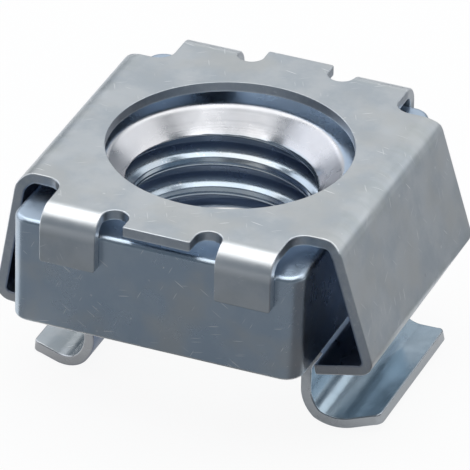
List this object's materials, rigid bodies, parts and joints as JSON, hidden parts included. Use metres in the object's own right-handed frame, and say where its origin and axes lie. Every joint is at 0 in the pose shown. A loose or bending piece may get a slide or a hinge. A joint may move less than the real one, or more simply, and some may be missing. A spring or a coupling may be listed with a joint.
{
  "type": "cage nut",
  "caption": "Steel nut block with a countersunk threaded hole, held loosely in a cage folded from spring steel with curled lips that clip into a square hole.",
  "frame": {"origin": "on the thread's axis, at half the nut block's height", "axes": "+Z along the thread's axis, from the lips up to the cage's plate; +X towards the flank that leans out more; +Y along the flanks"},
  "size_m": [0.0144, 0.014, 0.0085],
  "materials": {
    "spring_steel": "zinc plated strip, satin, with fine scratches",
    "nut_steel": "zinc plated block, satin"
  },
  "bodies": {
    "root": {"cage": "spring_steel", "nut": "nut_steel"}
  },
  "joints": []
}
